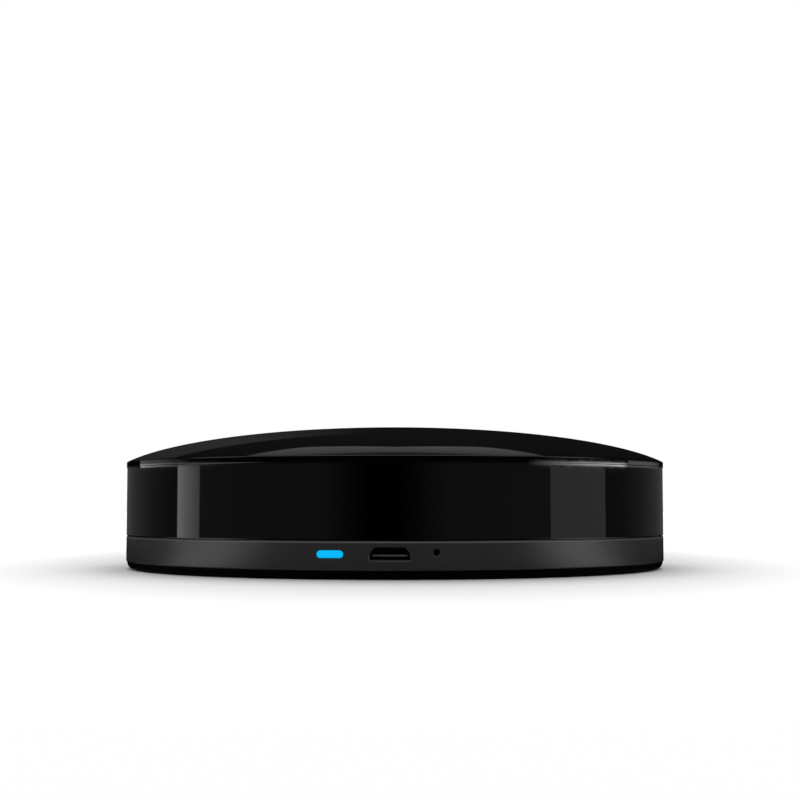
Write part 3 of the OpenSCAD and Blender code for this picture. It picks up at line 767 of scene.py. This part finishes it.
def base_outline():
    """Half section of the base, with its seam, its tongue and the groove for the foot's key"""
    sizes = bpy.context.scene.blaster_housing
    outside = BAND_HIGH.x
    inside = outside - sizes.wall
    low = BASE_LOW.z
    rim = BAND_LOW.z - sizes.seam_height
    tongue_r = inside + TONGUE_THICKNESS
    tongue_z = BAND_LOW.z + TONGUE_HEIGHT
    key_out = FOOT_HIGH.x - KEY_INSET + KEY_GAP
    key_in = FOOT_HIGH.x - sizes.foot_width + KEY_INSET - KEY_GAP
    key_z = low + KEY_HEIGHT + KEY_GAP
    points = [
        (0, low),
        (key_in, low),
        (key_in, key_z),
        (key_out, key_z),
        (key_out, low),
        (outside, low),
        (outside, rim),
        (outside - sizes.seam_depth, rim),
        (outside - sizes.seam_depth, BAND_LOW.z),
        (tongue_r, BAND_LOW.z),
        (tongue_r, tongue_z),
        (inside, tongue_z),
        (inside, low + sizes.base_floor),
        (0, low + sizes.base_floor),
    ]
    edge = sizes.edge_radius
    return rounded(points, {5: edge, 6: edge, 10: edge, 12: FLOOR_CORNER})


def foot_outline():
    """Closed section of the rubber ring, with its rounded outer edge and its key"""
    sizes = bpy.context.scene.blaster_housing
    outside = FOOT_HIGH.x
    inside = outside - sizes.foot_width
    top = BASE_LOW.z
    points = [
        (inside + FOOT_LEAD, 0),
        (outside, 0),
        (outside, top),
        (outside - KEY_INSET, top),
        (outside - KEY_INSET, top + KEY_HEIGHT),
        (inside + KEY_INSET, top + KEY_HEIGHT),
        (inside + KEY_INSET, top),
        (inside, top),
        (inside, FOOT_LEAD),
    ]
    loop = rounded(points, {1: sizes.foot_edge}, steps=10)
    return loop + loop[:1]


SCREW_COUNT = 4
SCREW_HEAD = 4.8 * MM
SCREW_HEAD_HEIGHT = 1.7 * MM
SCREW_SHANK = 2.3 * MM
SCREW_LENGTH = 9 * MM
SCREW_CROSS_WIDTH = 0.6 * MM
SCREW_CROSS_LENGTH = 2.6 * MM
SCREW_CROSS_DEPTH = 0.9 * MM
RECESS = 5.4 * MM
RECESS_DEPTH = 2.2 * MM
SCREW_HOLE = 2.9 * MM
BOSS = 7.6 * MM
BOSS_SEAT = 1.4 * MM
BOSS_PLACE = 34.2 * MM
SCREW_STEPS = 48
EIGHTH_TURN = FULL_TURN / 8


def turned_solid(name, outline, segments=SCREW_STEPS):
    """A small turned solid, without a material yet"""
    return shell(name, outline, None, segments)


def round_and_round(item, count, radius, height, name, material=None):
    """Copies of the item round the puck, the first at an eighth of a turn"""
    values = {
        "Count": count,
        "Radius": radius,
        "First turn": EIGHTH_TURN,
        "Height": height,
        "Material": material,
    }
    return grown(item, round_tree(), values, name)


def post_outline(radius, low, high):
    """Half section of a plain round post"""
    return [(0, low), (radius, low), (radius, high), (0, high)]


class BLASTER_OT_cover(bpy.types.Operator):
    """Make the glossy domed cover with its lip"""

    bl_idname = "blaster.cover"
    bl_label = "Cover"

    def execute(self, context):
        material = cover_gloss()
        item = shell("domed_cover", cover_outline(), material)
        fitted(item, material, "gloss_cover", "top_cover")
        return {"FINISHED"}


class BLASTER_OT_window(bpy.types.Operator):
    """Make the infrared window band"""

    bl_idname = "blaster.window"
    bl_label = "Window band"

    def execute(self, context):
        material = window_gloss()
        item = shell("window_band", band_outline(), material)
        fitted(item, material, "ir_window", "ir_window_ring")
        return {"FINISHED"}


class BLASTER_OT_base(bpy.types.Operator):
    """Make the satin base with its bosses, screw recesses and front openings"""

    bl_idname = "blaster.base"
    bl_label = "Base"

    def execute(self, context):
        material = base_satin()
        item = shell("satin_shell", base_outline(), material)
        low = BASE_LOW.z
        boss_top = low + RECESS_DEPTH + BOSS_SEAT
        boss = turned_solid("boss", post_outline(BOSS / 2, low + OVERRUN / 2, boss_top))
        bosses = round_and_round(boss, SCREW_COUNT, BOSS_PLACE, 0.0, "bosses")
        item = combined(item, [bosses], "UNION")
        hole = [
            (0, low - OVERRUN),
            (RECESS / 2, low - OVERRUN),
            (RECESS / 2, low + RECESS_DEPTH),
            (SCREW_HOLE / 2, low + RECESS_DEPTH),
            (SCREW_HOLE / 2, boss_top + OVERRUN),
            (0, boss_top + OVERRUN),
        ]
        recess = turned_solid("recess", hole)
        recesses = round_and_round(recess, SCREW_COUNT, BOSS_PLACE, 0.0, "recesses")
        item = combined(item, [recesses, *front_cutters()], "DIFFERENCE")
        outward(item)
        fitted(item, material, "satin_base", "base_shell")
        return {"FINISHED"}


PLUG_CORNER_WIDTH = 0.88 * MM
PLUG_CORNER_HEIGHT = 1.15 * MM
PLUG_CORNER_RADIUS = 0.12 * MM
SOCKET_HEIGHT = 2.45 * MM
SOCKET_ROOM = 0.15 * MM
LIGHT_RIM = 0.5 * MM
LIGHT_RIM_THICKNESS = 0.8 * MM
PIN_STEPS = 32


def front_cutters():
    """Solids that cut the light's, the plug's and the pin's openings, each flared at the front"""
    sizes = bpy.context.scene.blaster_housing
    front = bpy.context.scene.blaster_front
    outside = BAND_HIGH.x
    inside = outside - sizes.wall
    flare = front.chamfer

    def through(name, outline, x, z, turn=0.0):
        levels = [
            (inside - OVERRUN, outline(0)),
            (outside - flare, outline(0)),
            (outside + OVERRUN, outline(2 * (flare + OVERRUN))),
        ]
        return wall_cutter(name, levels, x, z, turn)

    def light(more):
        return pill_outline(front.light_width + more, front.light_height + more)

    def plug(more):
        scale = 1 + more / front.plug_width
        corner_width = PLUG_CORNER_WIDTH * scale
        corner_height = PLUG_CORNER_HEIGHT * scale
        width = front.plug_width + more
        height = front.plug_height + more
        return plug_outline(width, height, corner_width, corner_height, PLUG_CORNER_RADIUS * scale)

    def pin(more):
        return disc_points(PINHOLE["dims"]["r_mm"] * MM + more / 2, PIN_STEPS)

    turn = math.asin(front.light_x / outside)
    plug_x = (SOCKET_LOW.x + SOCKET_HIGH.x) / 2
    plug_z = SOCKET_LOW.z + SOCKET_HEIGHT / 2
    pin_x, _, pin_z = PINHOLE["pos_m"]
    rim = pill_outline(
        front.light_width + 2 * LIGHT_RIM + SKIRT_GAP, front.light_height + 2 * LIGHT_RIM + SKIRT_GAP
    )
    seat = [(inside - LIGHT_RIM_THICKNESS - OVERRUN, rim), (inside, rim)]
    pocket_low = (SOCKET_LOW.x - SOCKET_ROOM, SOCKET_LOW.y - SKIRT_GAP, BASE_LOW.z + sizes.base_floor)
    pocket_high = (SOCKET_HIGH.x + SOCKET_ROOM, SOCKET_HIGH.y, SOCKET_HIGH.z)
    return [
        through("light_opening", light, 0.0, front.light_z, turn),
        wall_cutter("light_seat", seat, 0.0, front.light_z, turn),
        through("plug_opening", plug, plug_x, plug_z),
        through("pin_opening", pin, pin_x, pin_z),
        bar("socket_pocket", pocket_low, pocket_high),
    ]


class BLASTER_OT_foot(bpy.types.Operator):
    """Make the rubber ring that the puck rests on"""

    bl_idname = "blaster.foot"
    bl_label = "Foot ring"

    def execute(self, context):
        material = foot_matt()
        item = shell("rubber_foot", foot_outline(), material)
        fitted(item, material, "foot_rubber", "foot_ring")
        return {"FINISHED"}


class BLASTER_OT_screws(bpy.types.Operator):
    """Make the four case screws with their cross recesses"""

    bl_idname = "blaster.screws"
    bl_label = "Case screws"

    def execute(self, context):
        colour = context.scene.blaster_colours.screws
        material = metal("black_zinc", colour, 0.35)
        head = SCREW_HEAD / 2
        edge = SCREW_HEAD_HEIGHT / 3
        outline = [
            (0, -SCREW_HEAD_HEIGHT),
            (head, -SCREW_HEAD_HEIGHT),
            (head, 0),
            (SCREW_SHANK / 2, 0),
            (SCREW_SHANK / 2, SCREW_LENGTH),
            (0, SCREW_LENGTH),
        ]
        screw = turned_solid("screw", rounded(outline, {1: edge, 4: SCREW_SHANK / 3}))
        bottom = -SCREW_HEAD_HEIGHT - OVERRUN
        floor = SCREW_CROSS_DEPTH - SCREW_HEAD_HEIGHT
        long, thin = SCREW_CROSS_LENGTH / 2, SCREW_CROSS_WIDTH / 2
        slots = [
            bar("slot_across", (-long, -thin, bottom), (long, thin, floor)),
            bar("slot_along", (-thin, -long, bottom), (thin, long, floor)),
        ]
        screw = combined(screw, slots, "DIFFERENCE")
        seat = BASE_LOW.z + RECESS_DEPTH
        item = round_and_round(screw, SCREW_COUNT, BOSS_PLACE, seat, "case_screw_set", material)
        outward(item)
        fitted(item, material, "black_screw", "case_screws")
        return {"FINISHED"}


class BLASTER_OT_light(bpy.types.Operator):
    """Finish the glowing status light and its diode"""

    bl_idname = "blaster.light"
    bl_label = "Status light"

    def execute(self, context):
        painted(lit_pill(), "light_pipe")
        painted(moulded("white_housing", (0.78, 0.78, 0.76), 0.45, 2500, 0.002 * MM), "status_led")
        return {"FINISHED"}


class BLASTER_OT_socket(bpy.types.Operator):
    """Finish the power socket's shell, tongue and contacts"""

    bl_idname = "blaster.socket"
    bl_label = "Power socket"

    def execute(self, context):
        painted(metal("dark_plated_steel", (0.09, 0.09, 0.095), 0.4, brush=0.9), "usb_socket_shell")
        painted(socket_plastic(), "usb_socket_tongue")
        painted(metal("gilt", (0.8, 0.6, 0.25), 0.25), "usb_contacts")
        return {"FINISHED"}


class BLASTER_OT_reset(bpy.types.Operator):
    """Finish the reset switch behind the pinhole"""

    bl_idname = "blaster.reset"
    bl_label = "Reset switch"

    def execute(self, context):
        painted(moulded("switch_body", (0.6, 0.55, 0.45), 0.5, 2500, 0.002 * MM), "reset_switch_body")
        painted(moulded("plunger_black", (0.03, 0.03, 0.03), 0.5, 2500, 0.002 * MM), "reset_switch_plunger")
        painted(metal("spring_steel", (0.6, 0.6, 0.58), 0.25), "reset_switch_dome")
        painted(metal("tinned_cover", (0.62, 0.62, 0.6), 0.35, brush=0.9), "reset_switch_cover")
        return {"FINISHED"}


class BLASTER_OT_board(bpy.types.Operator):
    """Finish the circuit board and everything on it"""

    bl_idname = "blaster.board"
    bl_label = "Board and its parts"

    def execute(self, context):
        painted(board_green(), "main_board")
        black_mask = moulded("black_solder_mask", (0.015, 0.015, 0.02), 0.3, 1500, 0.003 * MM)
        painted(black_mask, "wifi_module_board")
        emitters = [name for name in NODES if name.startswith("ir_emitter_")]
        painted(emitter_resin(), *emitters)
        epoxy = moulded("dark_epoxy", (0.02, 0.02, 0.02), 0.55, 3000, 0.004 * MM)
        painted(epoxy, "ir_receiver", "controller_chip", "voltage_regulator")
        painted(epoxy, "driver_transistors", "led_resistors")
        painted(metal("tinned_steel", (0.62, 0.62, 0.6), 0.35, brush=0.9), "wifi_shield_can", "crystal")
        painted(metal("plated_steel", (0.6, 0.6, 0.6), 0.3), "board_screws")
        painted(metal("drawn_aluminium", (0.7, 0.7, 0.71), 0.3, brush=0.8), "bulk_capacitor")
        painted(moulded("chip_ceramic", (0.45, 0.33, 0.2), 0.45, 2500, 0.002 * MM), "bypass_capacitors")
        return {"FINISHED"}


PHOTO_WIDTH = 800
FOCUS_PIXELS = 1496
SENSOR = 36.0
CAMERA_PLACE = (1.02 * MM, -312 * MM, 13 * MM)
CAMERA_TILT = math.radians(3.98)
EYE_HEIGHT = 13 * MM
FLOOR_SIZE = 4.0
FLOOR_GREY = 0.86
LAMP_PLACE = (0, 0.3, 0.85)
LAMP_SIZE = 0.9
TENT_STEPS = 96
TABLE_CARD = 0.1 * MM
TENT_ARCS = 24

# The studio's cards. Each has its brightness, then the four angles over which it comes in and goes
# out again across (0 is the camera's side, +X positive) and upwards, in degrees, and how much its
# edges climb for each degree across. The paired cards stand on both sides.
CARDS = {
    "left_fill": (0.105, (-79.2, -78.8, -26, -10), (-3.4, -2.9, 2.7, 2.76), 0),
    "right_fill": (0.115, (2, 21, 59.4, 60), (-3.4, -2.9, 2.7, 2.76), 0),
    "left_strip": (0.7, (-92.2, -91.8, -79.2, -78.8), (-3.4, -2.9, 2.6, 2.66), 0),
    "left_strip_core": (0.95, (-92.2, -91.8, -91, -78.5), (-3.4, -2.9, 2.6, 2.66), 0),
    "right_block": (0.38, (59.5, 59.9, 87.7, 88.1), (-3.4, -2.9, 2.5, 2.58), 0),
    "right_block_core": (0.12, (59.5, 59.9, 60, 88), (-3.4, -2.9, 2.5, 2.58), 0),
    "left_lip": (1.9, (-124.5, -123.5, -114, -66), (2.62, 2.68, 2.82, 2.88), 0),
    "left_lip_top": (0.35, (-124.5, -123.5, -104, -84), (2.82, 2.88, 4, 8), 0),
    "right_lip": (6.5, (50, 76, 99, 104), (2.6, 2.66, 2.82, 2.88), 0),
    "right_rear_lip": (0.75, (103, 104, 106, 142), (2.6, 2.66, 3, 3.1), 0),
    "left_softbox": (1.2, (-90, -80, -64, -56), (3.6, 6, 30, 50), 0),
    "right_softbox": (1.2, (57, 65, 81, 91), (3.6, 6, 30, 50), 0),
    "left_table": (2.8, (-70, -63, -48, -40), (-12, -9, -3.8, -3.4), 0),
    "right_table": (2.8, (42, 50, 64, 71), (-12, -9, -3.8, -3.4), 0),
    "front_overhead": (1.6, (-75, -55, 55, 75), (28, 38, 60, 70), 0),
    "left_rear": (0.05, (-178, -164, -140, -130), (50, 80, 75.6, 76.8), -0.32),
}
PAIRED_CARDS = {
    "low_rear": (0.052, (87.8, 88.2, 181, 182), (-3.4, -2.9, 2.7, 2.76), 0),
    "far_rear": (0.03, (98, 122, 181, 182), (-3.4, -2.9, 2.7, 2.76), 0),
    "rear_glow": (0.018, (120, 140, 181, 182), (-8, 40, 62, 66), 0),
    "top": (0.8, (-1, 0, 181, 182), (70, 80, 91, 92), 0),
}
# The pale lens on the dome is a paired card too, cut by a sloping edge and faded at its top
LENS = (0.245, (60, 61, 181, 182), (112.6, 114.2, 300, 301), 0.45)
LENS_CUT = ((-17.3, -15.9), -0.33, (52, 59.5))


def card(graph, azimuth, elevation, strength, across, upwards, climb):
    """The light of one card in a direction"""
    height = graph.math("ADD", elevation, graph.math("MULTIPLY", azimuth, climb)) if climb else elevation
    light = graph.math("MULTIPLY", graph.ramp(azimuth, across[0], across[1]), strength)
    light = graph.math("MULTIPLY", light, graph.ramp(azimuth, across[2], across[3], 1.0, 0.0))
    light = graph.math("MULTIPLY", light, graph.ramp(height, upwards[0], upwards[1]))
    return graph.math("MULTIPLY", light, graph.ramp(height, upwards[2], upwards[3], 1.0, 0.0))


def tent_cloth():
    """Emission of the reflection tent, from its cards"""
    material, graph = new_material("tent_cloth")
    x, y, z = graph.add("ShaderNodeSeparateXYZ", {0: object_point(graph)}).outputs
    degree = math.degrees(1)
    azimuth = graph.math("MULTIPLY", graph.math("ARCTAN2", x, graph.math("MULTIPLY", y, -1.0)), degree)
    away = graph.math("SQRT", graph.math("ADD", graph.math("MULTIPLY", x, x), graph.math("MULTIPLY", y, y)))
    rise = graph.math("SUBTRACT", z, EYE_HEIGHT)
    elevation = graph.math("MULTIPLY", graph.math("ARCTAN2", rise, away), degree)
    either_side = graph.math("ABSOLUTE", azimuth)
    lower, climb, upper = LENS_CUT
    height = graph.math("ADD", elevation, graph.math("MULTIPLY", either_side, climb))
    total = graph.math("MULTIPLY", card(graph, either_side, elevation, *LENS), graph.ramp(height, *lower))
    total = graph.math("MULTIPLY", total, graph.ramp(elevation, *upper, 1.0, 0.0))
    for placed in CARDS.values():
        total = graph.math("ADD", total, card(graph, azimuth, elevation, *placed))
    for placed in PAIRED_CARDS.values():
        total = graph.math("ADD", total, card(graph, either_side, elevation, *placed))
    shader = graph.add("ShaderNodeEmission", {"Strength": total})
    graph.add("ShaderNodeOutputMaterial", {"Surface": shader.outputs[0]})
    material.cycles.emission_sampling = "NONE"
    return material


def seen_directly(graph):
    """1 for camera, glossy and transmission rays and 0 for the rest"""
    path = graph.add("ShaderNodeLightPath").outputs
    gloss = graph.math("MAXIMUM", path["Is Glossy Ray"], path["Is Transmission Ray"])
    return graph.math("MAXIMUM", path["Is Camera Ray"], gloss)


# Painted light on the floor: a glow lifts it to white, except in a zone round the puck that is set back and
# stretched, so the shadow there is partly real and partly painted shade
FLOOR_LIFT = 0.36
FLOOR_LIFT_FROM = 56 * MM
FLOOR_LIFT_TO = 92 * MM
FLOOR_LIFT_CENTRE = 45 * MM
FLOOR_LIFT_STRETCH = 0.55
FAR_LIFT = 0.9
FAR_LIFT_FROM = 0.15
FAR_LIFT_TO = 1.7


def floor_paper():
    """White paper, lifted by a painted glow to the background's white away from the puck; the unlifted
    zone, set back and stretched, shapes the shadow round it
    """
    material, graph = new_material("floor_paper")
    place = graph.add("ShaderNodeTexCoord").outputs["Object"]
    shift = (0, -FLOOR_LIFT_STRETCH * FLOOR_LIFT_CENTRE, 0)
    links = {"Vector": place, "Location": shift, "Scale": (1, FLOOR_LIFT_STRETCH, 1)}
    point = graph.add("ShaderNodeMapping", links).outputs[0]
    away = graph.add("ShaderNodeVectorMath", {0: point}, operation="LENGTH").outputs["Value"]
    near_lift = graph.ramp(away, FLOOR_LIFT_FROM, FLOOR_LIFT_TO, 0.0, FLOOR_LIFT)
    lift = graph.math("ADD", near_lift, graph.ramp(away, FAR_LIFT_FROM, FAR_LIFT_TO, 0.0, FAR_LIFT))
    paper = graph.add("ShaderNodeBsdfDiffuse", {"Color": (FLOOR_GREY, FLOOR_GREY, FLOOR_GREY, 1)})
    glow = graph.add("ShaderNodeEmission", {"Strength": graph.math("MULTIPLY", lift, seen_directly(graph))})
    both = graph.add("ShaderNodeAddShader", {0: paper.outputs[0], 1: glow.outputs[0]})
    graph.add("ShaderNodeOutputMaterial", {"Surface": both.outputs[0]})
    return material


def pale_world(ambient):
    """Even ambient light, seen as white"""
    world = bpy.data.worlds.new("pale_world")
    world.use_nodes = True
    world.node_tree.nodes.clear()
    graph = Graph(world.node_tree)
    strength = graph.ramp(seen_directly(graph), 0.0, 1.0, ambient, 1.0)
    sky = graph.add("ShaderNodeBackground", {"Color": (1, 1, 1, 1), "Strength": strength})
    graph.add("ShaderNodeOutputWorld", {"Surface": sky.outputs[0]})
    return world


class BLASTER_OT_stage(bpy.types.Operator):
    """Set up the camera, the floor, the lamp, the world and the reflection tent"""

    bl_idname = "blaster.stage"
    bl_label = "Stage"

    def execute(self, context):
        studio = context.scene.blaster_studio
        lens = bpy.data.cameras.new("camera")
        lens.sensor_width = SENSOR
        lens.lens = FOCUS_PIXELS * SENSOR / PHOTO_WIDTH
        lens.clip_start = 10 * MM
        camera = linked("camera", lens)
        camera.location = CAMERA_PLACE
        camera.rotation_euler = (math.pi / 2 + CAMERA_TILT, 0, 0)
        context.scene.camera = camera
        context.scene.view_settings.view_transform = "Standard"

        half = FLOOR_SIZE / 2
        corners = [(-half, -half, 0), (half, -half, 0), (half, half, 0), (-half, half, 0)]
        mesh = bpy.data.meshes.new("floor")
        mesh.from_pydata(corners, [], [(0, 1, 2, 3)])
        floor = linked("floor", mesh)
        floor.data.materials.append(floor_paper())

        light = bpy.data.lights.new("overhead", "AREA")
        light.energy = studio.lamp
        light.size = LAMP_SIZE
        lamp = linked("overhead", light)
        lamp.location = LAMP_PLACE
        lamp.rotation_euler = (math.atan2(-LAMP_PLACE[1], LAMP_PLACE[2]), 0, 0)
        lamp.visible_glossy = False
        context.scene.world = pale_world(studio.ambient)

        if studio.show_tent:
            wide = studio.tent_radius
            lowest = math.asin((TABLE_CARD - EYE_HEIGHT) / wide)
            reach = math.pi / 2 - lowest
            angles = [lowest + reach * i / TENT_ARCS for i in range(TENT_ARCS + 1)]
            arc = [(wide * math.cos(a), EYE_HEIGHT + wide * math.sin(a)) for a in angles]
            arc = [(FOOT_HIGH.x, TABLE_CARD)] + arc
            tent = shell("tent", arc, tent_cloth(), TENT_STEPS)
            tent.visible_camera = False
            tent.visible_diffuse = False
            tent.visible_transmission = False
            tent.visible_volume_scatter = False
            tent.visible_shadow = False
        return {"FINISHED"}


class BLASTER_PT_panel(bpy.types.Panel):
    """Lists the sizes, the finishes and the makers of the puck"""

    bl_label = "Infrared blaster"
    bl_idname = "BLASTER_PT_panel"
    bl_space_type = "VIEW_3D"
    bl_region_type = "UI"
    bl_category = "Blaster"

    def draw(self, context):
        for place in GROUPS:
            group = getattr(context.scene, place)
            box = self.layout.box()
            for name in group.__annotations__:
                box.prop(group, name)
        for maker in OPERATORS:
            self.layout.operator(maker.bl_idname)


GROUPS = {
    "blaster_housing": HousingSizes,
    "blaster_front": FrontSizes,
    "blaster_colours": FinishColours,
    "blaster_studio": StudioSettings,
}
OPERATORS = (
    BLASTER_OT_stage,
    BLASTER_OT_cover,
    BLASTER_OT_window,
    BLASTER_OT_base,
    BLASTER_OT_foot,
    BLASTER_OT_screws,
    BLASTER_OT_light,
    BLASTER_OT_socket,
    BLASTER_OT_reset,
    BLASTER_OT_board,
)


def register():
    """Registers the groups, the operators and the panel"""
    for item in (*GROUPS.values(), *OPERATORS, BLASTER_PT_panel):
        bpy.utils.register_class(item)
    for name, group in GROUPS.items():
        setattr(bpy.types.Scene, name, PointerProperty(type=group))


def unregister():
    """Takes them out again"""
    for name in GROUPS:
        delattr(bpy.types.Scene, name)
    for item in (BLASTER_PT_panel, *reversed(OPERATORS), *reversed(GROUPS.values())):
        bpy.utils.unregister_class(item)


def main():
    """Makes every piece and the stage"""
    register()
    bpy.ops.blaster.stage()
    bpy.ops.blaster.cover()
    bpy.ops.blaster.window()
    bpy.ops.blaster.base()
    bpy.ops.blaster.foot()
    bpy.ops.blaster.screws()
    bpy.ops.blaster.light()
    bpy.ops.blaster.socket()
    bpy.ops.blaster.reset()
    bpy.ops.blaster.board()


if __name__ == "__main__":
    main()
